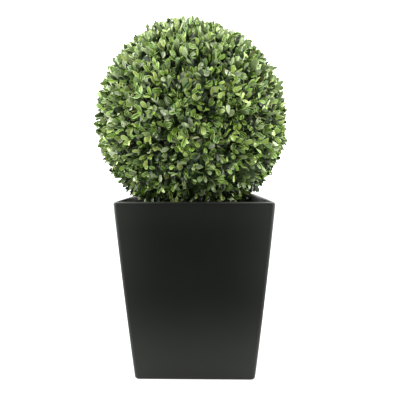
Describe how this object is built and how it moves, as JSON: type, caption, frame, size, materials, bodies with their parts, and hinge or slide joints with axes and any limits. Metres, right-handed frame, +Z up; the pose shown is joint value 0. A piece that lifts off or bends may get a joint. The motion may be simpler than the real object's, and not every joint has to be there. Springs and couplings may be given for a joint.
{
  "type": "artificial box topiary ball in a square planter",
  "caption": "Clipped artificial box foliage ball on a short stem, standing in a tall tapered square planter in matt black.",
  "frame": {"origin": "middle of the planter's flat underside", "axes": "+Z up through the stem and the ball, -Y towards the planter's front, +X to its right seen from the front"},
  "size_m": [0.4627, 0.468, 0.8289],
  "materials": {
    "planter_shell": "satin near-black moulded fibre composite, faintly uneven",
    "bark_filling": "dark loose bark chips",
    "stem_wood": "rough grey-brown bark",
    "box_foliage": "satin moulded leaves in mixed greens with paler edges"
  },
  "bodies": {
    "root": {"planter": "planter_shell", "filling": "bark_filling", "stem": "stem_wood", "foliage_ball": "box_foliage"}
  },
  "joints": []
}
